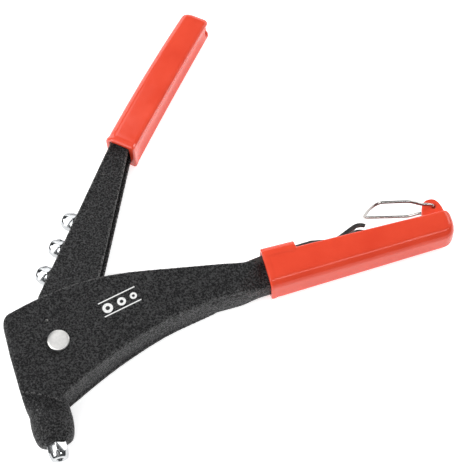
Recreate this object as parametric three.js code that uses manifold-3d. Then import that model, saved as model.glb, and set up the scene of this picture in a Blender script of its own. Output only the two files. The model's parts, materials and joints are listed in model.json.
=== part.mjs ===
// Hand riveter: a channel-shaped body with a fixed handle, a moving handle hinged on a cross pin,
// and a spring-loaded jaw set that the moving handle pulls back inside the snout.
// The tool lies on its back face. Z runs through its thickness, X along the fixed handle and
// the snout points along -Y. Shapes are drawn about the pivot, at mid thickness, in millimetres.
import * as THREE from "three";
import { mergeVertices } from "three/addons/utils/BufferGeometryUtils.js";
import Module from "manifold-3d";

const wasm = await Module();
wasm.setup();

// Driving dimensions
const GAP = 0.3; // clearance between touching pieces
const HALF = 11.5; // half of the body's thickness
const WALL = 2.8; // cheek and spine thickness of the body
const CHEEK = HALF - WALL; // inner faces of the cheeks
const TANG_HALF = 6.8; // half thickness of the handle tang under the fixed grip
const TANG_WALL = 2.2;
const TANG_TOP = 19.8;
const GRIP_START = 126.3; // fixed grip: mouth, end and inner edge
const GRIP_END = 240.9;
const GRIP_TOP = 21.9;
const GRIP_FLOOR = [0.9, 5.8]; // outer edge height at the mouth and at the end
const GRIP_HALF = [HALF, 10.2]; // half thickness at the mouth and at the end
const NOSE_X = -14.2; // axis of the snout and of all the jaw parts
const SNOUT_END = -56;
const BORE_R = 7; // jaw case bore in the snout
const LEVER_HALF = 8.2; // half thickness of the moving handle
const LEVER_WALL = 2.4;
const LEVER_NARROWING = 0.2; // share of its thickness that the moving handle loses at its end
const SWING_DIR = THREE.MathUtils.degToRad(49.5); // direction of the open moving handle's grip
const LEVER_INNER = 21.1; // distance of the moving grip's inner face from the pivot
const LEVER_OUTER = 38.9;
const LEVER_BELLY = 1.2; // how far the moving grip's outer edge swells at its middle
const LEVER_FLARE = 1.3; // how far its inner edge stands out at its mouth
const LEVER_MOUTH = 130; // moving grip: mouth and end, along its own direction
const LEVER_END = 236.4;
const LEVER_TAIL = 227; // end of the steel inside the moving grip
const LEVER_GRIP_HALF = [HALF, 8.6];
const PIN_R = 4.6; // pivot pin shank
const STOP_PIN = [-4.3, 14.7];
const STOP_PIN_R = 0.95;
const SPARE_SPOTS = [17.5, 36.5, 55.5]; // spare nosepieces, along the moving handle's outer edge
const LATCH_HOLE = [234.2, 29.2]; // eye of the wire latch in the fixed grip's ear
const LATCH_TILT = THREE.MathUtils.degToRad(14);
const WIRE_R = 0.95;
const STRAP_LENGTH = 20.2; // along the fixed grip, from its mouth
const FITTED_NOSE = { radius: 6.2, hexHeight: 5.6, length: 9.4 };
const SPARE_NOSE = { radius: 5.8, hexHeight: 4.4, length: 7.2 };
const NOSE_TIP = 0.72; // share of a nosepiece's radius at its tip
const NOSE_THREAD_R = 3.95;
const TOOL_SPAN = { left: -29.3, right: GRIP_END, low: -65.4, high: 204.27 };

// Materials
function paint(color, roughness, metalness) {
  return new THREE.MeshStandardMaterial({ color, roughness, metalness });
}
const BLACK = paint(0x343434, 0.7, 0.1);
const RED = paint(0xf0553c, 0.35, 0);
const CHROME = paint(0xd8dadc, 0.12, 1);
const BRIGHT = paint(0xe6e6e4, 0.3, 1);
const STEEL = paint(0x8c8c8a, 0.4, 1);
const DARK_STEEL = paint(0x4a4744, 0.45, 0.9);

// Solids
function solid(geometry) {
  const bare = geometry.clone();
  bare.deleteAttribute("normal");
  bare.deleteAttribute("uv");
  const merged = mergeVertices(bare, 1e-3);
  const triVerts = new Uint32Array(merged.index.array);
  const vertProperties = merged.attributes.position.array;
  const made = new wasm.Manifold(new wasm.Mesh({ numProp: 3, vertProperties, triVerts }));
  if (made.volume() > 0) return made;
  for (let i = 0; i < triVerts.length; i += 3) triVerts.subarray(i, i + 3).reverse();
  return new wasm.Manifold(new wasm.Mesh({ numProp: 3, vertProperties, triVerts }));
}

function geometryOf(made) {
  const mesh = made.getMesh();
  const geometry = new THREE.BufferGeometry();
  const position = new THREE.BufferAttribute(new Float32Array(mesh.vertProperties), 3);
  geometry.setAttribute("position", position);
  geometry.setIndex(new THREE.BufferAttribute(new Uint32Array(mesh.triVerts), 1));
  return geometry;
}

function join(...pieces) {
  return pieces.reduce((whole, piece) => whole.add(piece));
}

function cut(piece, ...tools) {
  return tools.reduce((rest, tool) => rest.subtract(tool), piece);
}

function node(name, made, material) {
  const geometry = geometryOf(made);
  geometry.computeVertexNormals();
  const mesh = new THREE.Mesh(geometry, material);
  mesh.name = name;
  return mesh;
}

// A flat outline standing between two heights, with an optional rounded edge on both faces.
function slab(shape, low, high, round = 0, roundSteps = 2, curveSegments = 6) {
  const geometry = new THREE.ExtrudeGeometry(shape, {
    depth: high - low - 2 * round,
    bevelEnabled: round > 0,
    bevelThickness: round,
    bevelSize: round,
    bevelOffset: -round,
    bevelSegments: roundSteps,
    curveSegments,
  });
  return solid(geometry.translate(0, 0, low + round));
}

// An outline in the X-Z plane, standing along Y between two heights.
function slabAlongY(shape, low, high, curveSegments = 6) {
  const geometry = new THREE.ExtrudeGeometry(shape, {
    depth: high - low,
    bevelEnabled: false,
    curveSegments,
  });
  return solid(geometry.rotateX(Math.PI / 2).translate(0, high, 0));
}

// An outline in the Z-Y plane, standing along X between two places.
function slabAlongX(shape, low, high, steps, curveSegments = 5) {
  const geometry = new THREE.ExtrudeGeometry(shape, {
    depth: high - low,
    steps,
    bevelEnabled: false,
    curveSegments,
  });
  return solid(geometry.rotateY(Math.PI / 2).translate(low, 0, 0));
}

function outline(points) {
  return new THREE.Shape(points.map(([x, y]) => new THREE.Vector2(x, y)));
}

function block(x0, x1, y0, y1, z0, z1) {
  const geometry = new THREE.BoxGeometry(x1 - x0, y1 - y0, z1 - z0);
  return solid(geometry.translate((x0 + x1) / 2, (y0 + y1) / 2, (z0 + z1) / 2));
}

// A profile of [radius, height] points turned about the Y axis at a given X.
function turned(profile, axisX = NOSE_X, segments = 24) {
  const points = profile.map(([r, y]) => new THREE.Vector2(r, y));
  return solid(new THREE.LatheGeometry(points, segments).translate(axisX, 0, 0));
}

// The same, for a hollow piece whose profile closes on itself.
function turnedRing(profile, axisX = NOSE_X, segments = 24) {
  return turned([...profile, profile[0]], axisX, segments);
}

// A profile of [radius, height] points turned about a Z axis.
function turnedUpright(profile, x, y, segments = 24) {
  const points = profile.map(([r, z]) => new THREE.Vector2(r, z));
  const geometry = new THREE.LatheGeometry(points, segments).rotateX(Math.PI / 2);
  return solid(geometry.translate(x, y, 0));
}

function post(x, y, radius, low, high, segments = 24) {
  return turnedUpright([[0, low], [radius, low], [radius, high], [0, high]], x, y, segments);
}

function rounded(x0, x1, y0, y1, corners) {
  const [a, b, c, d] = corners; // lower left, lower right, upper right, upper left
  const shape = new THREE.Shape();
  shape.moveTo(x0 + a, y0);
  shape.lineTo(x1 - b, y0);
  shape.absarc(x1 - b, y0 + b, b, -Math.PI / 2, 0);
  shape.lineTo(x1, y1 - c);
  shape.absarc(x1 - c, y1 - c, c, 0, Math.PI / 2);
  shape.lineTo(x0 + d, y1);
  shape.absarc(x0 + d, y1 - d, d, Math.PI / 2, Math.PI);
  shape.lineTo(x0, y0 + a);
  shape.absarc(x0 + a, y0 + a, a, Math.PI, 1.5 * Math.PI);
  return shape;
}

// Body: one steel channel, open along its upper edge, with the snout and the handle tang
const SPINE = new THREE.SplineCurve([
  new THREE.Vector2(-6, -32.6),
  new THREE.Vector2(20.4, -18.9),
  new THREE.Vector2(41.9, -9.8),
  new THREE.Vector2(63.4, -2.9),
  new THREE.Vector2(92, 2.4),
]);
const RIM = 1; // how far the back rim of the spine stands out
const RAMP_FOOT = [86, 1]; // the plate thins to the tang past the line between these two points
const RAMP_HEAD = [109, 21.4];
const RAMP_LENGTH = 8.5;

function plateOutline(top) {
  const shape = new THREE.Shape();
  shape.moveTo(-26.4, -38);
  shape.lineTo(-6, -38);
  SPINE.getPoints(14).forEach((p) => shape.lineTo(p.x, p.y));
  shape.lineTo(122, 3);
  shape.lineTo(122, top);
  shape.lineTo(-29.3, top);
  shape.lineTo(-29.3, 17);
  shape.lineTo(-28.8, 0);
  return shape;
}

function upperEdge() {
  const shape = new THREE.Shape();
  shape.moveTo(-32, -40);
  shape.lineTo(130, -40);
  shape.lineTo(130, 19.8);
  shape.lineTo(115, 19.8);
  shape.quadraticCurveTo(109, 20.8, 104, 22);
  shape.lineTo(60, 29.9);
  shape.bezierCurveTo(30, 35.3, 8, 34.6, -25, 24.3);
  shape.quadraticCurveTo(-28.9, 22.8, -29.3, 17);
  shape.lineTo(-32, 17);
  return shape;
}

// The plate's lower end narrows from its square section to the round snout.
function shoulder(plate) {
  const lower = block(-40, -4, -50, -26, -20, 20);
  const cone = turned([[0, -40], [11.2, -40], [12.2, -34], [17.2, -26], [0, -26]], NOSE_X, 32);
  return join(cut(plate, lower), plate.intersect(lower).intersect(cone));
}

// Slopes both faces of the plate down to the tang.
function thinned(plate) {
  const [x0, y0] = RAMP_FOOT;
  const [x1, y1] = RAMP_HEAD;
  const along = new THREE.Vector2(x1 - x0, y1 - y0).normalize();
  const drop = (HALF - TANG_HALF) / RAMP_LENGTH;
  const slope = [-along.y * drop, along.x * drop];
  const offset = slope[0] * x0 + slope[1] * y0 - HALF;
  return plate.trimByPlane([...slope, -1], offset).trimByPlane([...slope, 1], offset);
}

function backLip() {
  const along = SPINE.getPoints(14);
  const rim = along.map((p, i) => [p.x, p.y - RIM * (1 - (i / (along.length - 1)) ** 3)]);
  const inner = along.map((p) => [p.x, p.y + 2]).reverse();
  const shape = outline([...rim, ...inner]);
  return slab(shape, -HALF, -HALF + 2.4);
}

function snout() {
  const tube = turned([
    [0, -20], [10.4, -20], [10.8, -30], [11.6, -37], [12, -43], [11.7, -48],
    [10.8, -52.5], [9.6, SNOUT_END + 0.9], [8.4, SNOUT_END], [0, SNOUT_END],
  ], NOSE_X, 32);
  return tube.scale([1, 1, HALF / 12]);
}

function tang() {
  const shape = outline([
    [80, 1.4], [95, 1.8], [GRIP_START, 3.2], [231.5, 8], [231.5, TANG_TOP], [112, TANG_TOP], [80, 24],
  ]);
  return slab(shape, -TANG_HALF, TANG_HALF, 1.2, 1);
}

function bodyFrame() {
  const sides = rounded(-29.4, 130, -HALF, HALF, [4.2, 1, 1, 4.2]);
  const plate = slab(plateOutline(42), -HALF, HALF, 1.9)
    .intersect(slabAlongY(sides, -40, 60))
    .intersect(slab(upperEdge(), -HALF - 1, HALF + 1, 0, 0, 8));
  const shell = join(shoulder(thinned(plate)), thinned(backLip()), snout(), tang());
  const hollow = outline([
    [-26.3, 40], [-26.3, -14], [-21.5, -20], [-7, -20], [20, -15.2], [42, -6.4], [63, 0.4],
    [82, 4.2], [112, 40],
  ]);
  const tangHollow = outline([[70, 4.5], [95, 4.6], [GRIP_START, 5.6], [229, 10.2], [229, 40], [70, 40]]);
  return cut(
    shell,
    slab(hollow, -CHEEK, CHEEK),
    slab(tangHollow, TANG_WALL - TANG_HALF, TANG_HALF - TANG_WALL),
    turned([[0, -18], [BORE_R, -18], [BORE_R, -50], [0, -50]]),
    turned([[0, -48], [NOSE_THREAD_R + 0.35, -48], [NOSE_THREAD_R + 0.35, -58], [0, -58]]),
    post(0, 0, PIN_R + 0.1, -20, 20),
    post(0, 0, 7.2, -20, -HALF + 1.7),
    post(STOP_PIN[0], STOP_PIN[1], STOP_PIN_R + 0.1, -20, 20, 12),
  );
}

// Fixed grip: a vinyl sleeve, open along the inner edge, with a strap and a latch ear
function taper(made, start, end, change) {
  return made.warp((p) => change(p, (p[0] - start) / (end - start)));
}

function fixedGrip() {
  const height = GRIP_TOP - GRIP_FLOOR[0];
  const section = rounded(-HALF, HALF, GRIP_FLOOR[0], GRIP_TOP, [5, 5, 1.3, 1.3]);
  const sleeve = taper(slabAlongX(section, GRIP_START, GRIP_END, 6), GRIP_START, GRIP_END, (p, t) => {
    const rise = GRIP_FLOOR[1] - GRIP_FLOOR[0];
    p[1] += (rise * t * (GRIP_TOP - p[1])) / height;
    p[2] *= THREE.MathUtils.lerp(1, GRIP_HALF[1] / GRIP_HALF[0], t);
  });
  const end = rounded(100, GRIP_END, 4.4, GRIP_TOP + 0.01, [0.1, 8.5, 3.5, 0.1]);
  const nearMouth = block(GRIP_START, 200, -5, GRIP_TOP, -20, 20);
  const lower = join(slab(end, -20, 20), nearMouth).intersect(sleeve);
  const sides = rounded(100, GRIP_END, -GRIP_HALF[1] - 0.4, GRIP_HALF[1] + 0.4, [0.1, 5, 5, 0.1]);
  const nearSides = block(GRIP_START, 200, -5, 30, -20, 20);
  const body = join(slabAlongY(sides, -5, 30), nearSides).intersect(lower);
  const room = outline([
    [100, 1.6], [GRIP_START, 2.9], [231.8, 7.7], [231.8, 40], [100, 40],
  ]);
  const half = TANG_HALF + GAP;
  return join(cut(body, slab(room, -half, half)), strap(), ear());
}

function strap() {
  const arch = new THREE.Shape();
  const foot = GRIP_TOP - 1.6;
  arch.moveTo(11.3, foot);
  arch.bezierCurveTo(11.3, 26, 8.6, 28.1, 0, 28.1);
  arch.bezierCurveTo(-8.6, 28.1, -11.3, 26, -11.3, foot);
  arch.lineTo(-8.9, foot);
  arch.bezierCurveTo(-8.9, 25.1, -7, 26.5, 0, 26.5);
  arch.bezierCurveTo(7, 26.5, 8.9, 25.1, 8.9, foot);
  return slabAlongX(arch, GRIP_START, GRIP_START + STRAP_LENGTH, 1, 7);
}

function ear() {
  const shape = new THREE.Shape();
  shape.moveTo(225.6, 21);
  shape.quadraticCurveTo(226.6, 34.6, 232.9, 34.6);
  shape.quadraticCurveTo(239.4, 34.6, 239.6, 21);
  const root = block(225, 239.6, 17, 21.8, -8, 8);
  const plate = join(slab(shape, -2.6, 2.6, 0.8, 2, 6), cut(root, block(224, 232, 10, 30, -20, 20)));
  return cut(plate, post(LATCH_HOLE[0], LATCH_HOLE[1], WIRE_R + 0.45, -9, 9, 16));
}

// Nosepiece: threaded shank, hex and a broad cone, seated at height 0 and pointing down
function nosepiece({ radius, hexHeight, length }) {
  const hex = new THREE.CylinderGeometry(radius, radius, length, 6).translate(0, -length / 2, 0);
  const tip = radius * NOSE_TIP;
  const envelope = turned([
    [0, 0], [radius * 0.93, 0], [radius, -0.5], [radius, -hexHeight + 0.4],
    [radius * 0.95, -hexHeight], [tip + 0.4, -length + 0.3], [tip, -length], [0, -length],
  ], 0);
  const shank = turned([
    [0, 6], [3.4, 6], [NOSE_THREAD_R, 5.3], [NOSE_THREAD_R, -1], [0, -1],
  ], 0);
  const bore = turned([[0, 8], [1.9, 8], [1.9, -12], [0, -12]], 0, 12);
  return cut(join(solid(hex).intersect(envelope), shank), bore);
}

function fittedNosepiece() {
  return nosepiece(FITTED_NOSE).translate([NOSE_X, SNOUT_END, 0]);
}

// Moving handle: a channel open towards the fixed handle, forked at the jaw parts
function swung(u, v) {
  const c = Math.cos(SWING_DIR);
  const s = Math.sin(SWING_DIR);
  return [u * c - v * s, u * s + v * c];
}

const EDGE_FROM = [-6.5, 31.6]; // outer edge of the moving handle, where it leaves the body
const EDGE_DIR = new THREE.Vector2(63, 88.7).normalize();

function leverOutline() {
  const shape = new THREE.Shape();
  const tail = [swung(141, 24.4), swung(LEVER_TAIL, 24.4), swung(LEVER_TAIL, 36), swung(133, 36)];
  shape.moveTo(-2.5, -8.8);
  shape.absarc(0, 0, 9.2, THREE.MathUtils.degToRad(-106), THREE.MathUtils.degToRad(-10));
  shape.bezierCurveTo(13, 6, 24, 14, 31, 35.4);
  shape.lineTo(67, 115);
  tail.forEach(([x, y]) => shape.lineTo(x, y));
  shape.lineTo(...EDGE_FROM);
  shape.lineTo(STOP_PIN[0] + STOP_PIN_R + GAP, 22);
  shape.lineTo(STOP_PIN[0] + STOP_PIN_R + GAP, 9.5);
  shape.quadraticCurveTo(-6.5, -1.5, -12, -1.6);
  shape.absarc(NOSE_X, -3.5, 3.2, THREE.MathUtils.degToRad(60), THREE.MathUtils.degToRad(262));
  return shape;
}

function edgePoint(along, out) {
  return [
    EDGE_FROM[0] + EDGE_DIR.x * along - EDGE_DIR.y * out,
    EDGE_FROM[1] + EDGE_DIR.y * along + EDGE_DIR.x * out,
  ];
}

function movingHandle() {
  const plates = slab(leverOutline(), -LEVER_HALF, LEVER_HALF, 0.6, 1);
  const web = slab(outline([
    edgePoint(4, -1), edgePoint(108, -1), edgePoint(105, 0.4), edgePoint(9, 0.4),
  ]), -LEVER_HALF + 1.6, LEVER_HALF - 1.6);
  const bosses = SPARE_SPOTS.map((along) => spareAt(turned([
    [0, 0.2], [5.6, 0.2], [5.6, 1.4], [6.2, 2], [6.2, 2.6], [0, 2.6],
  ], 0), along));
  const room = outline([
    [-30, -20], [60, -20], [80, 80], swung(140, 10), swung(240, 10), swung(240, 33.6), swung(133, 33.6),
    edgePoint(104, -1.9), edgePoint(6, -1.9), edgePoint(6, 12), [-30, 44],
  ]);
  const inside = slab(room, LEVER_WALL - LEVER_HALF, LEVER_HALF - LEVER_WALL);
  const shell = join(cut(plates, inside), cut(join(web, ...bosses), inside)).warp((p) => {
    const along = p[0] * Math.cos(SWING_DIR) + p[1] * Math.sin(SWING_DIR);
    const t = THREE.MathUtils.clamp((along - LEVER_MOUTH) / (LEVER_TAIL - LEVER_MOUTH), 0, 1);
    p[2] *= 1 - LEVER_NARROWING * t;
  });
  const thread = post(0, 0, NOSE_THREAD_R + 0.35, -8, 8, 20).rotate([90, 0, 0]);
  const holes = SPARE_SPOTS.map((along) => spareAt(thread, along));
  const bore = post(0, 0, PIN_R + 0.1, -20, 20);
  return cut(shell, bore, ...holes);
}

// Turns a piece that points down so that it points out of the moving handle's outer edge.
function spareAt(piece, along) {
  const outward = THREE.MathUtils.radToDeg(Math.atan2(EDGE_DIR.x, -EDGE_DIR.y));
  const [x, y] = edgePoint(along, 1.5);
  return piece.rotate([0, 0, outward + 90]).translate([x, y, 0]);
}

function movingGrip() {
  const section = rounded(-HALF, HALF, LEVER_INNER, LEVER_OUTER, [2.2, 2.2, 5, 5]);
  const straight = slabAlongX(section, LEVER_MOUTH, LEVER_END, 10);
  const sleeve = taper(straight, LEVER_MOUTH, LEVER_END, (p, t) => {
    const out = (p[1] - LEVER_INNER) / (LEVER_OUTER - LEVER_INNER);
    p[1] += out * LEVER_BELLY * 4 * t * (1 - t) - (1 - out) * LEVER_FLARE * (1 - t) ** 2;
    p[2] *= THREE.MathUtils.lerp(1, LEVER_GRIP_HALF[1] / LEVER_GRIP_HALF[0], Math.sqrt(t));
  });
  const outer = rounded(100, LEVER_END, LEVER_INNER - 2, LEVER_OUTER + 2, [0.1, 4, 5, 0.1]);
  const sides = rounded(100, LEVER_END, -20, 20, [0.1, 11, 11, 0.1]);
  const body = sleeve.intersect(slab(outer, -20, 20)).intersect(slabAlongY(sides, 0, 50));
  const dish = new THREE.CylinderGeometry(14, 14, 96, 40).rotateZ(Math.PI / 2);
  const scoop = new THREE.CylinderGeometry(4.2, 4.2, 14, 16).rotateZ(Math.PI / 2);
  const side = new THREE.Shape();
  const tail = LEVER_TAIL + GAP;
  const mouthHalf = LEVER_HALF + GAP;
  const endHalf = LEVER_HALF * (1 - LEVER_NARROWING) + GAP;
  side.moveTo(LEVER_MOUTH, -mouthHalf);
  side.lineTo(tail, -endHalf);
  side.lineTo(tail, endHalf);
  side.lineTo(LEVER_MOUTH, mouthHalf);
  side.lineTo(LEVER_MOUTH - 10, mouthHalf);
  side.lineTo(LEVER_MOUTH - 10, -mouthHalf);
  const room = slab(outline([
    [120, 20], [131, 23.4], [141, 24.1], [tail, 24.1], [tail, 36.3], [120, 36.3],
  ]), -20, 20).intersect(slabAlongY(side, 10, 50));
  return cut(
    body,
    solid(dish.translate(LEVER_MOUTH + 54, LEVER_INNER - 12.7, 0)),
    solid(scoop.translate(LEVER_END - 2, LEVER_INNER - 1.4, 0)),
    room,
  ).rotate([0, 0, THREE.MathUtils.radToDeg(SWING_DIR)]);
}

// Pivot pin, its retaining ring, and the small pin that stops the moving handle when it opens
function pivotPin() {
  return turnedUpright([
    [0, -HALF + 0.2], [PIN_R - 0.4, -HALF + 0.2], [PIN_R, -HALF + 0.6], [PIN_R, -HALF + 0.7],
    [PIN_R - 0.9, -HALF + 0.7], [PIN_R - 0.9, -HALF + 1.7], [PIN_R, -HALF + 1.7], [PIN_R, HALF + GAP],
    [6.4, HALF + GAP], [6.4, HALF + 1.2], [5.8, HALF + 1.7], [0, HALF + 1.8],
  ], 0, 0, 32);
}

function retainingRing() {
  const ring = new THREE.Shape();
  const open = 0.5;
  ring.absarc(0, 0, 6.6, open, 2 * Math.PI - open);
  ring.absarc(0, 0, 3.95, 2 * Math.PI - open, open, true);
  return slab(ring, -HALF + 0.85, -HALF + 1.55, 0, 0, 14);
}

function stopPin() {
  const [x, y] = STOP_PIN;
  return turnedUpright([
    [0.45, -HALF + 1], [STOP_PIN_R, -HALF + 1], [STOP_PIN_R, HALF - 1], [0.45, HALF - 1],
    [0.45, -HALF + 1],
  ], x, y, 12);
}

// Jaw parts, from the snout upwards
function jawCase() {
  return turnedRing([
    [3.9, -49.4], [5.4, -49.4], [6.7, -47.5], [6.7, -22], [5.3, -22], [5.3, -34], [5.5, -35], [5.5, -38],
  ]);
}

function jaw(turn) {
  const cone = turned([[0, -38.4], [5.1, -38.4], [3.6, -48.4], [0, -48.4]]);
  const teeth = turned([[0, -50], [1.7, -50], [1.2, -46], [1.2, -40], [2.2, -36], [0, -36]]);
  const wedge = new THREE.Shape();
  wedge.moveTo(0.3, 0);
  wedge.lineTo(8, 12.8);
  wedge.lineTo(8, -12.8);
  const sector = slabAlongY(wedge, -60, -30).rotate([0, turn, 0]).translate([NOSE_X, 0, 0]);
  return cut(cone, teeth).intersect(sector);
}

function jawPusher() {
  return turnedRing([
    [1.8, -37.6], [3, -38], [4.7, -36], [4.7, -33], [3.6, -33], [3.6, -31], [1.8, -31],
  ]);
}

function pullTube() {
  return turnedRing([
    [4, -32], [5, -32], [5, 0], [7.5, 0], [7.5, 2.5], [4, 2.5],
  ]);
}

function lockNut() {
  const hex = new THREE.CylinderGeometry(7.6, 7.6, 4, 6).translate(NOSE_X, -17.7, 0);
  return cut(solid(hex), turned([[0, -25], [5.2, -25], [5.2, -10], [0, -10]]));
}

function springGuide() {
  const plug = block(NOSE_X - 7.2, NOSE_X + 6.8, 14.4, 23.4, GAP - CHEEK, CHEEK - GAP);
  const tail = turned([[0, 16], [2.4, 16], [2.4, -6], [0, -6]]);
  const bore = turned([[0, 30], [1.6, 30], [1.6, -10], [0, -10]], NOSE_X, 12);
  return cut(join(plug, tail), bore);
}

function jawSpring() {
  const bottom = -30.4;
  const top = 13.8;
  const turns = 9;
  const steps = turns * 10;
  const points = Array.from({ length: steps + 1 }, (_, i) => {
    const angle = (i / steps) * turns * 2 * Math.PI;
    const y = THREE.MathUtils.lerp(bottom, top, i / steps);
    return new THREE.Vector3(NOSE_X + 3.1 * Math.cos(angle), y, 3.1 * Math.sin(angle));
  });
  return sweep(points, 0.45, 6, steps);
}

// A round wire of the given radius along a smooth curve through the points.
function sweep(points, radius, sides, steps) {
  const section = new THREE.Shape();
  for (let i = 0; i < sides; i += 1) {
    const angle = (i / sides) * 2 * Math.PI;
    section[i ? "lineTo" : "moveTo"](radius * Math.cos(angle), radius * Math.sin(angle));
  }
  const path = new THREE.CatmullRomCurve3(points, false, "centripetal");
  return solid(new THREE.ExtrudeGeometry(section, { steps, extrudePath: path, bevelEnabled: false }));
}

// Spanner for the nosepieces, stored along the fixed grip's inner edge
function spanner() {
  const profile = new THREE.Shape();
  profile.moveTo(115.6, 21.4);
  profile.lineTo(120, 20.4);
  profile.lineTo(168, 20.2);
  profile.lineTo(176, 23);
  profile.lineTo(184, 26.8);
  profile.quadraticCurveTo(187, 27.8, 190.2, 26.2);
  profile.lineTo(191.4, 27.8);
  profile.quadraticCurveTo(187.4, 30.8, 182.6, 28.6);
  profile.lineTo(174, 24.8);
  profile.quadraticCurveTo(169.5, 23, 164, 24.6);
  profile.lineTo(157, 26);
  profile.lineTo(147, 25.5);
  profile.lineTo(127, 24.4);
  profile.lineTo(116, 22.8);
  const bar = slab(profile, -5, 5);
  const inside = block(110, 160, 15, 23.2, -3.6, 3.6);
  const jaws = outline([[182.5, 0], [185.5, 3.4], [196, 3.4], [196, -3.4], [185.5, -3.4]]);
  return cut(bar, inside, slabAlongY(jaws, 20, 40));
}

// Wire latch: a bail whose two ends meet in the ear's eye
function wireLatch() {
  const half = [
    [0, 0.5], [0, 3], [-1.5, 4.6], [-8, 5.6], [-13, 9], [-16, 9.7], [-31.4, 9.4],
  ];
  const flat = [
    ...half,
    [-35.2, 6.6], [-38.4, 1], [-40.4, -5], [-41, -8.6], [-39.8, -9.7], [-33, -9.7],
    ...half.slice(0, -1).reverse().map(([u, w]) => [u, -w]),
  ];
  const points = flat.map(([u, w]) => new THREE.Vector3(u, 0, w));
  const wire = sweep(points, WIRE_R, 8, 72);
  const tilt = -THREE.MathUtils.radToDeg(LATCH_TILT);
  return wire.rotate([0, 0, tilt]).translate([LATCH_HOLE[0], LATCH_HOLE[1], 0]);
}

// Assembly
const tool = new THREE.Group();
tool.add(
  node("body_frame", bodyFrame(), BLACK),
  node("fixed_grip", fixedGrip(), RED),
  node("nosepiece_fitted", fittedNosepiece(), CHROME),
  node("spring_guide", springGuide(), STEEL),
  node("pivot_pin", pivotPin(), BRIGHT),
  node("retaining_ring", retainingRing(), DARK_STEEL),
  node("stop_pin", stopPin(), DARK_STEEL),
  node("spanner", spanner(), DARK_STEEL),
  node("wire_latch", wireLatch(), STEEL),
  node("moving_handle", movingHandle(), BLACK),
  node("moving_grip", movingGrip(), RED),
  node("jaw_case", jawCase(), STEEL),
  node("jaw_pusher", jawPusher(), STEEL),
  node("pull_tube", pullTube(), STEEL),
  node("lock_nut", lockNut(), STEEL),
  node("jaw_spring", jawSpring(), STEEL),
);
SPARE_SPOTS.forEach((along, i) => {
  tool.add(node(`spare_nosepiece_${i + 1}`, spareAt(nosepiece(SPARE_NOSE), along), CHROME));
});
[0, 120, 240].forEach((turn, i) => {
  tool.add(node(`jaw_${i + 1}`, jaw(turn), DARK_STEEL));
});
tool.position.set(
  -(TOOL_SPAN.left + TOOL_SPAN.right) / 2,
  -(TOOL_SPAN.low + TOOL_SPAN.high) / 2,
  HALF,
);

const assembly = new THREE.Group();
assembly.add(tool);

export default assembly;
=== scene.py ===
"""Looks of the hand riveter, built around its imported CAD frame. Lengths are in millimetres
about the pivot at mid thickness, as the part is drawn, and at() turns them into metres."""
import json
import math

import bmesh
import bpy
import numpy as np
from mathutils import Matrix, Vector


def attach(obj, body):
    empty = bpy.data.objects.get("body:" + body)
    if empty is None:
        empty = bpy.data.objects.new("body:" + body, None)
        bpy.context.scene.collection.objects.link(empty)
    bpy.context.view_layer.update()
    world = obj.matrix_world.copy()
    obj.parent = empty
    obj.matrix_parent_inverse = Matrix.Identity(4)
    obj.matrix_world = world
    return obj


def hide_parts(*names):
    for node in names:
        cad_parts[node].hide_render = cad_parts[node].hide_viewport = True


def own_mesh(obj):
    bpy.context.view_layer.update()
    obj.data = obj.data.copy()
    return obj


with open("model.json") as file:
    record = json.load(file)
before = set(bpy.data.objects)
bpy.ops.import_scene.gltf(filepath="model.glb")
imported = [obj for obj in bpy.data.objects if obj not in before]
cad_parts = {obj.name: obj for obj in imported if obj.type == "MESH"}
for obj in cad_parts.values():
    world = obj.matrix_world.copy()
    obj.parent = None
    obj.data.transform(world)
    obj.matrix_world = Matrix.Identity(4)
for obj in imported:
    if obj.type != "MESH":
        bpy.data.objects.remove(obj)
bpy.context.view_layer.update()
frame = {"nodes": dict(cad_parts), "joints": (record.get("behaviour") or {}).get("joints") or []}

MM = 0.001
JOINTS = {joint["name"]: joint for joint in frame["joints"]}
PIVOT = Vector(JOINTS["handle_swing"]["pos_m"])
EAR = Vector(JOINTS["latch_swing"]["pos_m"])

# Places and sizes in the part's own millimetres
HALF = 11.5                     # half thickness of the body
NOSE_X = -14.2                  # axis of the snout and of all that slides in it
SNOUT_END = -56.0
EDGE_FROM = Vector((-6.5, 31.6, 0.0))       # moving handle's outer edge, which holds the spares
EDGE_DIR = Vector((63.0, 88.7, 0.0)).normalized()
EDGE_OUT = Vector((-EDGE_DIR.y, EDGE_DIR.x, 0.0))
SPARE_SPOTS = (17.5, 36.5, 55.5)
SPARE_STANDOFF = 1.5
STOP_PIN = (-4.3, 14.7)
SWING = math.radians(49.5)      # moving handle's direction at rest
LATCH_TILT = math.radians(14.0)

# Fixed grip, which lies along X. Pairs run from its mouth to its end.
GRIP_START, GRIP_END, GRIP_TOP = 126.3, 240.9, 21.9
GRIP_FLOOR = (0.9, 5.8)
GRIP_HALF = (11.5, 10.2)
GRIP_SHRINK = 0.45              # taken off its half thickness, which the bead and bulge add back
STRAP_LENGTH = 20.2
EAR_HALF, EAR_HOLE = 2.6, 1.4

# Moving grip, in the swung handle's own frame
LEVER_MOUTH, LEVER_END, LEVER_TAIL = 130.0, 236.4, 227.0     # the tail is the steel's end
LEVER_INNER, LEVER_OUTER = 21.1, 38.9
LEVER_BELLY, LEVER_FLARE = 1.2, 1.3
LEVER_GRIP_HALF = (11.5, 8.6)
LEVER_SHRINK = 0.35
DISH_DEPTH, DISH_RUN_OUT = 1.35, 9.0
SCOOP_RADIUS, SCOOP_HALF = 4.2, 5.5

# The slanting line past which the snout's round surface starts below the plate's face
STEP_CORNER = Vector((-28.6, -23.6))
STEP_DOWN = Vector((-12.2, -23.7)).normalized()
STEP_WIDTH, STEP_DROP = 0.8, 0.15

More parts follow.
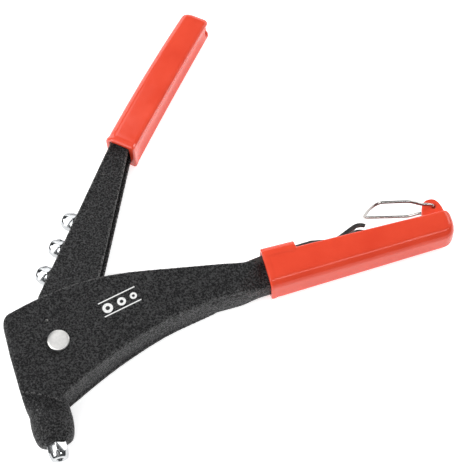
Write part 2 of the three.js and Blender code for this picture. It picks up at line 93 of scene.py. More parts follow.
# Printed mark
RIVET_SPOTS = ((31.6, 12.4, 3.1), (40.2, 14.4, 2.6), (47.6, 16.1, 2.1))     # x, y, radius
RIVET_BORE = 0.42               # share of a rivet's radius
RULE_START = Vector((27.8, 11.5))
RULE_DIR = Vector((16.0, 3.7)).normalized()
RULE_LENGTH, RULE_WIDTH, RULE_OFFSET = 23.4, 0.7, 4.6
PRINT_LOW, PRINT_HIGH = HALF - 0.4, HALF + 0.24

# Nosepieces
BORE_R, COUNTERSINK_R = 1.8, 2.5
THREAD_TURNS, THREAD_PITCH = 7, 0.7
THREAD_ROOT_R, THREAD_CREST_R = 3.4, 3.95

WIRE_R = 0.95
SPRING_LOW, SPRING_HIGH = -30.4, 13.8
SPRING_R, SPRING_WIRE_R, SPRING_TURNS = 3.1, 0.45, 9

# Mesh detail
MOST_TRIANGLES = 196000         # in any one piece
ARC_STEPS = 12                  # round each corner of a grip's section


def at(x, y, z=0.0):
    return PIVOT + Vector((x, y, z)) * MM


# Camera
VIEW_AZIMUTH = math.radians(-10.65)
VIEW_ELEVATION = math.radians(63.0)
VIEW_DISTANCE = 0.8987
VIEW_UP = math.radians(14.65)
VIEW_TARGET = at(112.6, 45.5)
LENS = 115.8


def add_camera():
    back = Vector((
        math.sin(VIEW_AZIMUTH) * math.cos(VIEW_ELEVATION),
        -math.cos(VIEW_AZIMUTH) * math.cos(VIEW_ELEVATION),
        math.sin(VIEW_ELEVATION),
    ))
    right = Vector((math.sin(VIEW_UP), math.cos(VIEW_UP), 0.0)).cross(back).normalized()
    up = back.cross(right)
    data = bpy.data.cameras.new("camera")
    data.lens = LENS
    data.sensor_width = 36.0
    data.clip_start = 0.01
    camera = bpy.data.objects.new("camera", data)
    bpy.context.scene.collection.objects.link(camera)
    turn = Matrix((right, up, back)).transposed().to_4x4()
    camera.matrix_world = Matrix.Translation(VIEW_TARGET + back * VIEW_DISTANCE) @ turn
    bpy.context.scene.camera = camera


def aim(obj, place, target):
    obj.location = place
    obj.rotation_euler = (target - place).to_track_quat("-Z", "Y").to_euler()


def add_softbox(name, place, target, width, height, power):
    data = bpy.data.lights.new(name, "AREA")
    data.shape = "RECTANGLE"
    data.size = width
    data.size_y = height
    data.energy = power
    light = bpy.data.objects.new(name, data)
    bpy.context.scene.collection.objects.link(light)
    aim(light, Vector(place), Vector(target))


def add_world():
    scene = bpy.context.scene
    scene.view_settings.view_transform = "Standard"
    world = bpy.data.worlds.new("studio")
    world.use_nodes = True
    sky = world.node_tree.nodes["Background"]
    sky.inputs["Color"].default_value = (0.92, 0.96, 1.0, 1.0)
    sky.inputs["Strength"].default_value = 0.1
    scene.world = world


def add_softboxes():
    """The last one is small and is mirrored by the nosepiece's front facets."""
    add_softbox("key_softbox", (-0.75, -0.03, 0.7), (0, 0, 0), 0.75, 0.6, 6.8)
    add_softbox("fill_softbox", (0.85, 0.38, 0.46), (0, 0, 0), 0.6, 0.45, 3.8)
    add_softbox("front_softbox", (0.1, -0.46, 0.93), (0, 0, 0), 1.2, 0.08, 3.6)
    add_softbox("rear_softbox", (0.1, 0.95, 0.3), (0, 0, 0), 1.2, 0.42, 3.0)
    add_softbox("steel_softbox", (-0.09, 0.17, 0.38), (-0.12, 0.0, 0.01), 0.11, 0.36, 0.22)


def add_floor():
    mesh = bpy.data.meshes.new("floor")
    reach = 3.0
    corners = [(-reach, -reach, 0), (reach, -reach, 0), (reach, reach, 0), (-reach, reach, 0)]
    mesh.from_pydata(corners, [], [(0, 1, 2, 3)])
    floor = bpy.data.objects.new("floor", mesh)
    bpy.context.scene.collection.objects.link(floor)
    floor.data.materials.append(paper_white())


# Materials
# Grey of the painted highlight along the sharp edges of the black paint
EDGE_HIGHLIGHT_GREY = (0.34, 0.33, 0.32)


class Shader:
    """A Principled material with short calls for the nodes that feed it."""

    def __init__(self, name, color, roughness, metallic=0.0):
        self.material = bpy.data.materials.new(name)
        self.material.use_nodes = True
        self.tree = self.material.node_tree
        self.bsdf = self.tree.nodes["Principled BSDF"]
        self.bsdf.inputs["Base Color"].default_value = (*color, 1.0)
        self.bsdf.inputs["Roughness"].default_value = roughness
        self.bsdf.inputs["Metallic"].default_value = metallic
        self.place = self.tree.nodes.new("ShaderNodeTexCoord").outputs["Object"]

    def node(self, kind, inputs=(), **settings):
        made = self.tree.nodes.new(kind)
        for key, value in settings.items():
            setattr(made, key, value)
        for key, value in dict(inputs).items():
            if isinstance(value, bpy.types.NodeSocket):
                self.tree.links.new(value, made.inputs[key])
            else:
                made.inputs[key].default_value = value
        return made

    def product(self, a, b):
        return self.node("ShaderNodeMath", {0: a, 1: b}, operation="MULTIPLY").outputs[0]

    def noise(self, scale, detail=3.0, rough=0.55, distortion=0.0, place=None):
        made = self.node("ShaderNodeTexNoise", {
            "Vector": place or self.place, "Scale": scale, "Detail": detail,
            "Roughness": rough, "Distortion": distortion,
        })
        return made.outputs["Fac"]

    def ramp(self, value, low, high, out_low, out_high):
        made = self.node("ShaderNodeMapRange", {
            "Value": value, "From Min": low, "From Max": high, "To Min": out_low, "To Max": out_high,
        })
        return made.outputs["Result"]

    def tint(self, value, under, over):
        """Mixes two colours. The one under may come from another node."""
        if not isinstance(under, bpy.types.NodeSocket):
            under = (*under, 1.0)
        made = self.node("ShaderNodeMix", {"Factor": value, "A": under, "B": (*over, 1.0)},
                         data_type="RGBA")
        return made.outputs["Result"]

    def bump(self, height, strength, depth_mm, under=None):
        made = self.node("ShaderNodeBump", {
            "Height": height, "Strength": strength, "Distance": depth_mm * MM,
        })
        if under is not None:
            self.tree.links.new(under, made.inputs["Normal"])
        return made.outputs["Normal"]

    def feed(self, socket, value):
        self.tree.links.new(value, self.bsdf.inputs[socket])


def paper_white():
    shader = Shader("floor_white", (0.93, 0.93, 0.93), 0.9)
    shader.bsdf.inputs["Emission Color"].default_value = (1.0, 1.0, 1.0, 1.0)
    shader.bsdf.inputs["Emission Strength"].default_value = 0.6
    shader.feed("Roughness", shader.ramp(shader.noise(12.0), 0.3, 0.7, 0.85, 0.95))
    return shader.material


def wrinkle_coat(name, dark, light, cell_mm, wear_and_edge_highlight):
    """Black wrinkle-finish paint: worm-like ridges on a slightly uneven sheet. The ridges are painted
    lighter as a painted highlight, and sharp edges get a painted highlight in grey.
    """
    shader = Shader(name, dark, 0.5)
    stir = shader.node("ShaderNodeTexNoise", {
        "Vector": shader.place, "Scale": 700.0 / cell_mm, "Detail": 2.0,
    }).outputs["Color"]
    centred = shader.node("ShaderNodeVectorMath", {0: stir, 1: (0.5, 0.5, 0.5)}, operation="SUBTRACT")
    pushed = shader.node("ShaderNodeVectorMath", {
        0: centred.outputs[0], 1: (1.6 * cell_mm * MM,) * 3, 2: shader.place,
    }, operation="MULTIPLY_ADD")
    worms = shader.noise(1000.0 / cell_mm, 1.5, 0.6, 0.0, pushed.outputs[0])
    fine = shader.noise(1000.0 / (cell_mm * 0.6), 2.0, 0.5)
    slow = shader.noise(45.0, 2.0)
    ridge = shader.ramp(worms, 0.42, 0.62, 0.0, 1.0)
    # Painted highlight: the ridges are tinted lighter than the valleys, for the light they catch
    coat = shader.tint(ridge, dark, light)
    edge = shader.node("ShaderNodeNewGeometry").outputs["Pointiness"]
    # Painted highlight: sharp edges, found by pointiness, are tinted grey on the ridges, up to the given
    # strength
    edge_highlight = shader.ramp(edge, 0.515, 0.56, 0.0, wear_and_edge_highlight)
    ridge_edge_highlight = shader.product(edge_highlight, ridge)
    shader.feed("Base Color", shader.tint(ridge_edge_highlight, coat, EDGE_HIGHLIGHT_GREY))
    shader.feed("Roughness", shader.ramp(ridge, 0.0, 1.0, 0.6, 0.34))
    shader.feed("Specular IOR Level", shader.ramp(ridge, 0.0, 1.0, 0.22, 0.6))
    base = shader.bump(slow, 0.3, 0.6)
    base = shader.bump(ridge, 1.0, 0.6, base)
    shader.feed("Normal", shader.bump(fine, 0.8, 0.25, base))
    return shader.material


def red_vinyl(name, gloss):
    """Dipped vinyl: glossy, with a soft orange peel and slightly uneven colour."""
    shader = Shader(name, (0.82, 0.06, 0.03), 0.3)
    cloud = shader.noise(40.0, 3.0)
    shader.feed("Base Color", shader.tint(
        shader.ramp(cloud, 0.3, 0.7, 0.0, 1.0), (0.82, 0.066, 0.03), (0.9, 0.085, 0.04)))
    shader.feed("Roughness", shader.ramp(shader.noise(160.0), 0.3, 0.7, 0.12, 0.22))
    peel = shader.bump(shader.noise(300.0, 2.0), 0.2, 0.1)
    shader.feed("Normal", shader.bump(shader.noise(60.0, 2.0), 0.25, 0.4, peel))
    shader.bsdf.inputs["Specular IOR Level"].default_value = gloss
    return shader.material


def metal(name, color, roughness, grain):
    """Plain metal with a fine grain and faint smudges."""
    shader = Shader(name, color, roughness, 1.0)
    scratches = shader.noise(grain, 3.0, 0.6, 0.2)
    smudge = shader.noise(90.0, 2.0)
    spread = shader.ramp(smudge, 0.3, 0.7, roughness * 0.8, roughness * 1.25)
    shader.feed("Roughness", spread)
    darker = tuple(part * 0.86 for part in color)
    shader.feed("Base Color", shader.tint(shader.ramp(scratches, 0.3, 0.7, 0.0, 1.0), darker, color))
    shader.feed("Normal", shader.bump(scratches, 0.3, 0.01))
    return shader.material


def white_print():
    shader = Shader("white_print", (0.85, 0.85, 0.84), 0.55)
    wear_and_edge_highlight = shader.noise(700.0, 3.0)
    shader.feed("Base Color", shader.tint(
        shader.ramp(wear_and_edge_highlight, 0.28, 0.42, 0.0, 1.0), (0.45, 0.45, 0.45), (0.87, 0.87, 0.86)))
    shader.feed("Normal", shader.bump(shader.noise(600.0, 3.0), 0.4, 0.1))
    return shader.material


# Mesh tools
def new_object(name, mesh):
    made = bpy.data.objects.new(name, mesh)
    bpy.context.scene.collection.objects.link(made)
    return made


def weld(obj):
    work = bmesh.new()
    work.from_mesh(obj.data)
    bmesh.ops.remove_doubles(work, verts=work.verts, dist=1e-6)
    bmesh.ops.recalc_face_normals(work, faces=work.faces)
    work.to_mesh(obj.data)
    work.free()


def from_faces(name, vertices, faces):
    mesh = bpy.data.meshes.new(name)
    mesh.from_pydata([tuple(v) for v in vertices], [], faces)
    mesh.update()
    obj = new_object(name, mesh)
    weld(obj)
    return obj


def copy_of(node, name):
    obj = new_object(name, frame["nodes"][node].data.copy())
    obj.data.materials.clear()
    weld(obj)
    return obj


def shade(obj, sharp_angle):
    """Shades it smooth, but for the edges that turn more than the angle in degrees."""
    obj.data.shade_smooth()
    obj.data.set_sharp_from_angle(angle=math.radians(sharp_angle))


def apply_modifiers(obj):
    graph = bpy.context.evaluated_depsgraph_get()
    mesh = bpy.data.meshes.new_from_object(obj.evaluated_get(graph), depsgraph=graph)
    obj.modifiers.clear()
    old = obj.data
    obj.data = mesh
    bpy.data.meshes.remove(old)
    return obj


def combine(obj, operation, *tools):
    """Joins tools to obj, or cuts them from it, and deletes them."""
    for tool in tools:
        modifier = obj.modifiers.new("combine", "BOOLEAN")
        modifier.operation = operation
        modifier.object = tool
        modifier.solver = "MANIFOLD"
        apply_modifiers(obj)
        mesh = tool.data
        bpy.data.objects.remove(tool)
        bpy.data.meshes.remove(mesh)
    return obj


def soften(obj, voxel_mm, rounds, regain_mm):
    """Remeshes a solid finely and rounds its edges, as a coat or a moulding does. The smoothing
    shrinks it, and regain_mm gives its size back."""
    remesh = obj.modifiers.new("remesh", "REMESH")
    remesh.mode = "VOXEL"
    remesh.voxel_size = voxel_mm * MM
    smooth = obj.modifiers.new("smooth", "SMOOTH")
    smooth.factor = 0.5
    smooth.iterations = rounds
    regain = obj.modifiers.new("regain", "DISPLACE")
    regain.mid_level = 0.0
    regain.strength = regain_mm * MM
    apply_modifiers(obj)
    triangles = 2 * len(obj.data.polygons)
    if triangles > MOST_TRIANGLES:
        thin = obj.modifiers.new("thin", "DECIMATE")
        thin.ratio = MOST_TRIANGLES / triangles
        settle = obj.modifiers.new("settle", "SMOOTH")
        settle.factor = 0.5
        settle.iterations = 2
        apply_modifiers(obj)
    obj.data.shade_smooth()
    return obj


def circle(x, y, radius, count):
    angles = (2 * math.pi * i / count for i in range(count))
    return [(x + radius * math.cos(a), y + radius * math.sin(a)) for a in angles]


def slab(name, lower, upper):
    """A solid between two outlines of as many points each, in metres."""
    count = len(lower)
    faces = [tuple(reversed(range(count))), tuple(range(count, 2 * count))]
    faces += [(i, (i + 1) % count, count + (i + 1) % count, count + i) for i in range(count)]
    return from_faces(name, lower + upper, faces)


def outline_slab(name, points, low, high):
    """A flat outline of [x, y] points standing between two heights."""
    return slab(name, [at(x, y, low) for x, y in points], [at(x, y, high) for x, y in points])


def lathe(name, profile, origin, axis, segments, side=None):
    """Turns [radius, height] points about an axis. A radius of 0 closes the piece on the axis.
    The first point of each ring lies towards the side, if one is given."""
    axis = axis.normalized()
    side = side or axis.orthogonal().normalized()
    other = axis.cross(side)
    vertices, rings = [], []
    for radius, height in profile:
        centre = origin + axis * height * MM
        if radius == 0:
            rings.append([len(vertices)] * segments)
            vertices.append(centre)
            continue
        rings.append(list(range(len(vertices), len(vertices) + segments)))
        for i in range(segments):
            angle = 2 * math.pi * i / segments
            reach = side * math.cos(angle) + other * math.sin(angle)
            vertices.append(centre + reach * radius * MM)
    faces = []
    closed = profile[0][0] != 0
    for k in range(len(rings) if closed else len(rings) - 1):
        a, b = rings[k], rings[(k + 1) % len(rings)]
        for i in range(segments):
            j = (i + 1) % segments
            face = [a[i], a[j], b[j], b[i]]
            unique = [v for n, v in enumerate(face) if v not in face[:n]]
            if len(unique) > 2:
                faces.append(tuple(unique))
    return from_faces(name, vertices, faces)


def bevel(obj, width_mm, segments, angle=35.0):
    """Rounds the edges that turn more than the angle, and keeps flat faces flat to the eye."""
    modifier = obj.modifiers.new("bevel", "BEVEL")
    modifier.width = width_mm * MM
    modifier.segments = segments
    modifier.limit_method = "ANGLE"
    modifier.angle_limit = math.radians(angle)
    apply_modifiers(obj)
    shade(obj, 32.0)
    return obj


def wire(name, points, radius_mm, resolution):
    """A round wire that follows a smooth curve near the points, which are in metres, with
    resolution steps from each point to the next."""
    curve = bpy.data.curves.new(name, "CURVE")
    curve.dimensions = "3D"
    curve.bevel_depth = radius_mm * MM
    curve.bevel_resolution = 6
    curve.use_fill_caps = True
    spline = curve.splines.new("NURBS")
    spline.points.add(len(points) - 1)
    for point, place in zip(spline.points, points):
        point.co = (*place, 1.0)
    spline.order_u = 4
    spline.use_endpoint_u = True
    spline.resolution_u = resolution
    guide = new_object(name + "_guide", curve)
    graph = bpy.context.evaluated_depsgraph_get()
    mesh = bpy.data.meshes.new_from_object(guide.evaluated_get(graph), depsgraph=graph)
    bpy.data.objects.remove(guide)
    bpy.data.curves.remove(curve)
    obj = new_object(name, mesh)
    weld(obj)
    shade(obj, 50.0)
    return obj


def finish_piece(obj, body, node, material):
    """Gives a piece its material in its one slot and its body, and hides the CAD node that it stands for,
    if any.
    """
    obj.data.materials.clear()
    obj.data.materials.append(material)
    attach(obj, body)
    if node:
        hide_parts(node)


# Body and moving handle
def step_at_snout(obj):
    """The snout's round surface starts a little below the plate's face, past a slanting line."""
    for vertex in obj.data.vertices:
        place = (vertex.co - PIVOT) / MM
        past = (Vector((place.x, place.y)) - STEP_CORNER).dot(STEP_DOWN)
        share = min(1.0, max(0.0, past / STEP_WIDTH))
        vertex.co.z = PIVOT.z + place.z * (1 - STEP_DROP * share) * MM


def pin_hole():
    """The mouth of the hole that holds the stop pin."""
    mouth = [(0, -1.9), (1.15, -1.9), (1.15, -0.2), (1.5, 0.2), (1.5, 1.0), (0, 1.0)]
    return lathe("pin_hole", mouth, at(*STOP_PIN, HALF), Vector((0, 0, 1)), 32)


def make_body():
    obj = soften(copy_of("body_frame", "body_casting"), 0.6, 6, 0.2)
    step_at_snout(obj)
    combine(obj, "DIFFERENCE", pin_hole())
    obj.data.shade_smooth()
    # Valleys, then ridges painted lighter as a highlight; the last number sets the painted edge highlight
    coat = wrinkle_coat("wrinkle_black", (0.005, 0.005, 0.0055), (0.04, 0.04, 0.041), 0.95, 0.7)
    finish_piece(obj, "root", "body_frame", coat)


def make_moving_handle():
    obj = soften(copy_of("moving_handle", "moving_handle_steel"), 0.53, 3, 0.1)
    # Valleys, then ridges painted lighter as a highlight; the last number sets the painted edge highlight
    coat = wrinkle_coat("handle_black", (0.007, 0.007, 0.0075), (0.048, 0.048, 0.049), 0.95, 1.0)
    finish_piece(obj, "handle", "moving_handle", coat)


# Printed mark: three rivet heads of falling size, seen end on, between two thin rules
def rivet_ring(x, y, radius):
    disc = outline_slab("disc", circle(x, y, radius, 48), PRINT_LOW, PRINT_HIGH)
    hole = outline_slab("hole", circle(x, y, radius * RIVET_BORE, 48), HALF - 1, HALF + 1)
    return combine(disc, "DIFFERENCE", hole)


def rule(offset):
    across = Vector((-RULE_DIR.y, RULE_DIR.x))
    start = RULE_START + across * offset
    end = start + RULE_DIR * RULE_LENGTH
    corners = [start, end, end + across * RULE_WIDTH, start + across * RULE_WIDTH]
    return outline_slab("rule", [tuple(corner) for corner in corners], PRINT_LOW, PRINT_HIGH)


def make_printed_mark():
    mark, *others = [rivet_ring(*spot) for spot in RIVET_SPOTS]
    others += [rule(offset) for offset in (-RULE_OFFSET, RULE_OFFSET)]
    mark.name = "printed_mark"
    combine(mark, "UNION", *others)
    finish_piece(mark, "root", None, white_print())


# Vinyl grips
def rounded_ring(low, high, half, low_round, high_round):
    """Points [v, z] round a rectangle with rounded corners, from the middle of its low side."""
    low_round = min(low_round, half, (high - low) / 2)
    high_round = min(high_round, half, (high - low) / 2)
    corners = (
        (low + low_round, half - low_round, low_round, 180, 90),
        (high - high_round, half - high_round, high_round, 90, 0),
        (high - high_round, high_round - half, high_round, 0, -90),
        (low + low_round, low_round - half, low_round, -90, -180),
    )
    ring = [(low, 0.0)]
    for v, z, radius, first, last in corners:
        for i in range(ARC_STEPS + 1):
            angle = math.radians(first + (last - first) * i / ARC_STEPS)
            ring.append((v + radius * math.cos(angle), z + radius * math.sin(angle)))
    return subdivided(ring)


def subdivided(ring):
    """Splits the straight runs between the corners' arcs."""
    out = []
    for k, (a, b) in enumerate(zip(ring, ring[1:] + ring[:1])):
        parts = ARC_STEPS if k % (ARC_STEPS + 1) == 0 else 1
        for i in range(parts):
            out.append((a[0] + (b[0] - a[0]) * i / parts, a[1] + (b[1] - a[1]) * i / parts))
    return out


def loft(name, stations, ring_at, place):
    """Skins the rings at the stations. place(u, v, z) gives a point in metres."""
    vertices, faces = [], []
    for u in stations:
        ring = ring_at(u)
        count = len(ring)
        vertices += [place(u, v, z) for v, z in ring]
    for k in range(len(stations) - 1):
        for i in range(count):
            j = (i + 1) % count
            faces.append((k * count + i, k * count + j, (k + 1) * count + j, (k + 1) * count + i))
    faces.append(tuple(reversed(range(count))))
    last = (len(stations) - 1) * count
    faces.append(tuple(last + i for i in range(count)))
    return from_faces(name, vertices, faces)


def stations_between(start, end, step, end_round):
    """Even stations with closer ones where the end rounds over."""
    straight = np.arange(start, end - end_round, step).tolist()
    turns = [end - end_round * (1 - math.sin(math.radians(a))) for a in range(0, 91, 5)]
    return straight + turns[:-1] + [end - 0.004]


def arc_inset(u, end, radius):
    """How far a rounded end has drawn in at u, for an arc of that radius that finishes at the end."""
    into = max(0.0, u - (end - radius))
    return radius - math.sqrt(max(0.0, radius * radius - into * into))


def bead(u, mouth, height):
    """A rolled bead round the mouth of a grip, with a faint neck behind it."""
    width = 1.6
    near = math.exp(-(((u - mouth - width) / width) ** 2))
    neck = math.exp(-(((u - mouth - 4.2) / 1.3) ** 2))
    return height * near - 0.14 * neck


def between(pair, share):
    return pair[0] + (pair[1] - pair[0]) * share


def fixed_grip_ring(u):
    """The fixed grip's section at u, with slightly bulged faces."""
    t = (u - GRIP_START) / (GRIP_END - GRIP_START)
    half = between(GRIP_HALF, t) - arc_inset(u, GRIP_END, 4.4) - GRIP_SHRINK
    low = between(GRIP_FLOOR, t) + arc_inset(u, GRIP_END, 7.0)
    high = GRIP_TOP - arc_inset(u, GRIP_END, 3.4)
    swell = bead(u, GRIP_START, 0.25)
    ring = rounded_ring(low - swell, high + swell * 0.3, half + swell, 5.2, 1.1)
    middle, reach = (low + high) / 2, (high - low) / 2
    return [(v, z * (1 + 0.03 * (1 - ((v - middle) / reach) ** 2))) for v, z in ring]


def moving_grip_ring(u):
    """The moving grip's section at u, with its inner face dished."""
    t = (u - LEVER_MOUTH) / (LEVER_END - LEVER_MOUTH)
    inner = LEVER_INNER - LEVER_FLARE * (1 - t) ** 2 + arc_inset(u, LEVER_END, 3.2)
    outer = LEVER_OUTER + LEVER_BELLY * 4 * t * (1 - t) - arc_inset(u, LEVER_END, 4.0)
    half = between(LEVER_GRIP_HALF, math.sqrt(t)) - (arc_inset(u, LEVER_END, 3.4) + LEVER_SHRINK)
    swell = bead(u, LEVER_MOUTH, 0.4)
    ring = rounded_ring(inner - swell * 0.4, outer + swell, half + swell * 0.8, 1.5, 5.0)
    from_mouth = (u - LEVER_MOUTH) / DISH_RUN_OUT
    from_end = max(0.0, (LEVER_END - 6.0 - u) / DISH_RUN_OUT)
    depth = DISH_DEPTH * min(1.0, from_mouth, from_end)
    dished = []
    for v, z in ring:
        share = max(0.0, 1 - (z / (half - 1.9)) ** 2) if v < inner + 0.8 else 0.0
        dished.append((v + depth * share, z))
    return dished


def straight_place(u, v, z):
    return at(u, v, z)


def swung_place(u, v, z):
    return at(u * math.cos(SWING) - v * math.sin(SWING), u * math.sin(SWING) + v * math.cos(SWING), z)


def prism(name, points, half_at, place):
    """A solid with a flat outline [u, v], whose half depth depends on u."""
    lower = [place(u, v, -half_at(u)) for u, v in points]
    upper = [place(u, v, half_at(u)) for u, v in points]
    return slab(name, lower, upper)


def strap_ring(_):
    """The strap that bridges the grip's open edge, a closed arch that is the same all along."""
    outer = bezier((11.4, 20.0), (11.4, 26.1), (8.6, 28.2), (0.0, 28.2), 14)
    inner = bezier((8.9, 20.0), (8.9, 25.1), (7.0, 26.5), (0.0, 26.5), 14)
    half_outer = outer + [(-z, v) for z, v in reversed(outer[:-1])]
    half_inner = inner + [(-z, v) for z, v in reversed(inner[:-1])]
    return [(v, z) for z, v in half_outer + half_inner[::-1]]


def bezier(a, b, c, d, steps):
    points = []
    for i in range(steps + 1):
        t = i / steps
        weights = ((1 - t) ** 3, 3 * t * (1 - t) ** 2, 3 * t * t * (1 - t), t ** 3)
        points.append(tuple(sum(w * p[k] for w, p in zip(weights, (a, b, c, d))) for k in (0, 1)))
    return points


def grip_ear():
    outline = [(225.2, 20.0)]
    outline += bezier((225.8, 24.0), (226.8, 31.0), (228.6, 34.6), (232.9, 34.6), 12)
    outline += bezier((232.9, 34.6), (237.4, 34.6), (239.4, 30.0), (239.4, 20.5), 12)[1:]
    ear = prism("ear", outline, lambda u: EAR_HALF, straight_place)
    eye = EAR - PIVOT
    hole = circle(eye.x / MM, eye.y / MM, EAR_HOLE, 24)
    return combine(ear, "DIFFERENCE", prism("ear_hole", hole, lambda u: 6.0, straight_place))


def make_fixed_grip():
    stations = stations_between(GRIP_START, GRIP_END, 1.0, 9.5)
    grip = loft("fixed_grip_vinyl", stations, fixed_grip_ring, straight_place)
    foot = [(225.0, 17.0), (239.0, 17.0), (239.0, 21.9), (225.0, 21.9)]
    combine(grip, "UNION", prism("ear_foot", foot, lambda u: 8.0, straight_place))
    room = [(100.0, 1.6), (126.3, 2.9), (231.8, 7.7), (231.8, 40.0), (100.0, 40.0)]
    combine(grip, "DIFFERENCE", prism("grip_room", room, lambda u: 7.1, straight_place))
    strap_stations = [GRIP_START + STRAP_LENGTH * i / 20 for i in range(21)]
    combine(grip, "UNION", loft("strap", strap_stations, strap_ring, straight_place), grip_ear())
    soften(grip, 0.44, 8, 0.16)
    finish_piece(grip, "root", "fixed_grip", red_vinyl("fixed_grip_red", 0.32))


def lever_room_half(u):
    return 8.5 - 1.64 * (u - LEVER_MOUTH) / (LEVER_TAIL - LEVER_MOUTH)


def make_moving_grip():
    stations = stations_between(LEVER_MOUTH, LEVER_END, 0.8, 4.6)
    grip = loft("moving_grip_vinyl", stations, moving_grip_ring, swung_place)
    end = LEVER_TAIL + 0.3
    room = [(120.0, 20.0), (131.0, 23.4), (141.0, 24.1), (end, 24.1), (end, 36.3), (120.0, 36.3)]
    combine(grip, "DIFFERENCE", prism("lever_room", room, lever_room_half, swung_place))
    scoop = circle(LEVER_END - 2.0, LEVER_INNER - 1.4, SCOOP_RADIUS, 40)
    combine(grip, "DIFFERENCE", prism("scoop", scoop, lambda u: SCOOP_HALF, swung_place))
    soften(grip, 0.44, 8, 0.16)
    finish_piece(grip, "handle", "moving_grip", red_vinyl("moving_grip_red", 0.7))


# Nosepieces: a threaded shank, a hex with turned corners and a tapered front
def threaded_shank():
    profile = [(0, 0.5), (3.3, 0.5), (3.3, -0.6)]
    for turn in range(THREAD_TURNS):
        root = -0.8 - turn * THREAD_PITCH
        profile += [(THREAD_ROOT_R, root), (THREAD_CREST_R, root - 0.3), (THREAD_CREST_R, root - 0.4)]
    return profile + [(THREAD_ROOT_R, -5.7), (3.1, -6.0), (0, -6.0)]


def nosepiece(name, seat, outward, radius, hex_height, length):
    """Seated at a point and pointing outward, with its threads behind the seat."""
    axis = outward.normalized()
    tip = radius * 0.72
    corner = radius * 1.02
    hexagon = lathe(name, [(0, 0), (corner, 0), (corner, length), (0, length)], seat, axis, 6,
                    Vector((0, 0, 1)))
    turned = [
        (0, -0.01), (radius * 0.9, -0.01), (radius * 0.96, 0.25), (radius, 0.75),
        (radius, hex_height - 0.7), (radius * 0.975, hex_height - 0.2), (radius * 0.93, hex_height + 0.2),
        (tip + 0.45, length - 0.55), (tip + 0.2, length - 0.2), (tip - 0.15, length - 0.01),
        (0, length - 0.01),
    ]
    combine(hexagon, "INTERSECT", lathe(name + "_turned", turned, seat, axis, 96))
    combine(hexagon, "UNION", lathe(name + "_shank", threaded_shank(), seat, axis, 64))
    bore = [
        (0, -7), (BORE_R, -7), (BORE_R, length - 0.6), (COUNTERSINK_R, length + 0.1),
        (COUNTERSINK_R, length + 1), (0, length + 1),
    ]
    combine(hexagon, "DIFFERENCE", lathe(name + "_bore", bore, seat, axis, 48))
    return bevel(hexagon, 0.14, 2, 24.0)


def make_nosepieces():
    chrome = metal("chrome", (0.52, 0.53, 0.54), 0.14, 900.0)
    seat = at(NOSE_X, SNOUT_END)
    fitted = nosepiece("nosepiece_in_use", seat, Vector((0, -1, 0)), 6.2, 5.6, 9.4)
    finish_piece(fitted, "root", "nosepiece_fitted", chrome)
    for number, along in enumerate(SPARE_SPOTS, 1):
        seat = at(*(EDGE_FROM + EDGE_DIR * along + EDGE_OUT * SPARE_STANDOFF))
        spare = nosepiece(f"nosepiece_spare_{number}", seat, EDGE_OUT, 5.8, 4.4, 7.2)
        finish_piece(spare, "handle", f"spare_nosepiece_{number}", chrome)


# Pins
def make_pivot_pin():
    profile = [
        (0, -11.3), (4.1, -11.3), (4.5, -11.0), (4.6, -10.8), (3.7, -10.8), (3.7, -9.8), (4.6, -9.8),
        (4.6, 11.8), (6.15, 11.8), (6.4, 11.95), (6.45, 12.3), (6.4, 12.75), (6.15, 13.05),
        (5.7, 13.22), (4.0, 13.28), (2.0, 13.3), (0, 13.3),
    ]
    obj = lathe("pivot_pin_turned", profile, at(0, 0), Vector((0, 0, 1)), 96)
    shade(obj, 40.0)
    satin = metal("bright_pin", (0.86, 0.85, 0.83), 0.42, 500.0)
    finish_piece(obj, "root", "pivot_pin", satin)


def make_stop_pin():
    """A slit roll pin, set a little below the plate's face."""
    half = HALF - 0.8
    tube = [
        (0.55, -half + 0.1), (0.85, -half), (0.95, -half + 0.2), (0.95, half - 0.2), (0.85, half),
        (0.55, half - 0.1),
    ]
    obj = lathe("roll_pin", tube, at(*STOP_PIN), Vector((0, 0, 1)), 48)
    x, y = STOP_PIN
    slit = [(x - 0.14, y), (x + 0.14, y), (x + 0.14, y + 2), (x - 0.14, y + 2)]
    combine(obj, "DIFFERENCE", outline_slab("slit", slit, -12, 12))
    shade(obj, 40.0)
    hard = metal("pin_steel", (0.5, 0.49, 0.48), 0.3, 600.0)
    finish_piece(obj, "root", "stop_pin", hard)


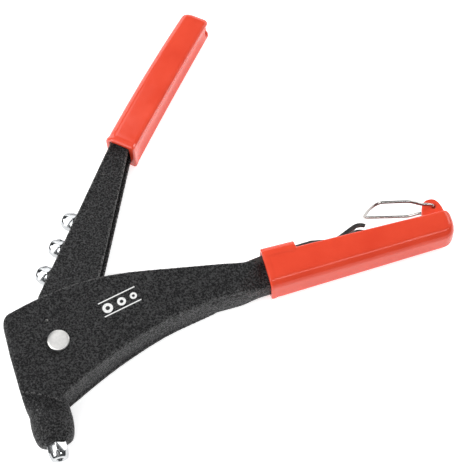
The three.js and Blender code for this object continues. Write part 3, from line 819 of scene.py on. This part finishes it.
# Wire latch and spanner
def make_wire_latch():
    half = [
        (0, 0), (0, 3.0), (-1.2, 4.6), (-4.5, 5.3), (-8, 5.7), (-11.5, 8.0), (-14.5, 9.6),
        (-18, 9.7), (-25, 9.6),
    ]
    near_end = [(-31.0, 9.4), (-32.6, 8.9), (-35.2, 6.4), (-38.3, 1.0), (-40.2, -5.0)]
    far_end = [(-41.2, -8.9), (-39.8, -9.75), (-33.0, -9.7)]
    loop = half + near_end + far_end + [(u, -w) for u, w in reversed(half[1:])]
    turn = Matrix.Rotation(-LATCH_TILT, 3, "Z")
    points = [EAR + turn @ Vector((u, 0, w)) * MM for u, w in loop]
    obj = wire("wire_latch_bail", points + [points[0] + Vector((0, 0, -0.4 * MM))], WIRE_R, 8)
    drawn = metal("latch_wire", (0.5, 0.49, 0.47), 0.22, 700.0)
    finish_piece(obj, "latch", "wire_latch", drawn)


def make_spanner():
    obj = soften(copy_of("spanner", "nosepiece_spanner"), 0.25, 10, 0.08)
    dark = metal("dark_steel", (0.12, 0.115, 0.11), 0.42, 500.0)
    finish_piece(obj, "stored_spanner", "spanner", dark)


# Jaw parts
def make_jaw_spring(steel):
    """An even coil with open ends, built at rest; the real spring shortens towards the guide as the jaws
    are pulled back.
    """
    length = SPRING_HIGH - SPRING_LOW
    count = SPRING_TURNS * 20
    points = []
    for i in range(count + 1):
        angle = 2 * math.pi * SPRING_TURNS * i / count
        height = SPRING_LOW + length * i / count
        points.append(at(NOSE_X + SPRING_R * math.cos(angle), height, -SPRING_R * math.sin(angle)))
    obj = wire("jaw_spring_coil", points, SPRING_WIRE_R, 2)
    finish_piece(obj, "root", "jaw_spring", steel)
    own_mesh(obj)


def refine(node, name, body, steel, width_mm=0.15):
    """Breaks the sharp edges of a machined piece, as tumbling does."""
    obj = bevel(copy_of(node, name), width_mm, 2)
    finish_piece(obj, body, node, steel)


def make_jaw_parts():
    steel = metal("steel", (0.42, 0.42, 0.41), 0.32, 600.0)
    hard = metal("hard_steel", (0.16, 0.155, 0.15), 0.4, 600.0)
    refine("jaw_case", "jaw_case_turned", "jaw_carriage", steel)
    refine("jaw_pusher", "jaw_pusher_turned", "jaw_carriage", steel)
    refine("pull_tube", "pull_tube_turned", "jaw_carriage", steel)
    refine("lock_nut", "lock_nut_hex", "jaw_carriage", steel)
    refine("spring_guide", "spring_guide_block", "root", steel, 0.3)
    refine("retaining_ring", "retaining_ring_stamped", "root", hard, 0.1)
    for number in (1, 2, 3):
        refine(f"jaw_{number}", f"jaw_{number}_ground", "jaw_carriage", hard, 0.08)
    make_jaw_spring(steel)


add_camera()
add_world()
add_softboxes()
add_floor()
make_body()
make_moving_handle()
make_fixed_grip()
make_moving_grip()
make_printed_mark()
make_nosepieces()
make_pivot_pin()
make_stop_pin()
make_wire_latch()
make_spanner()
make_jaw_parts()

bpy.context.view_layer.update()
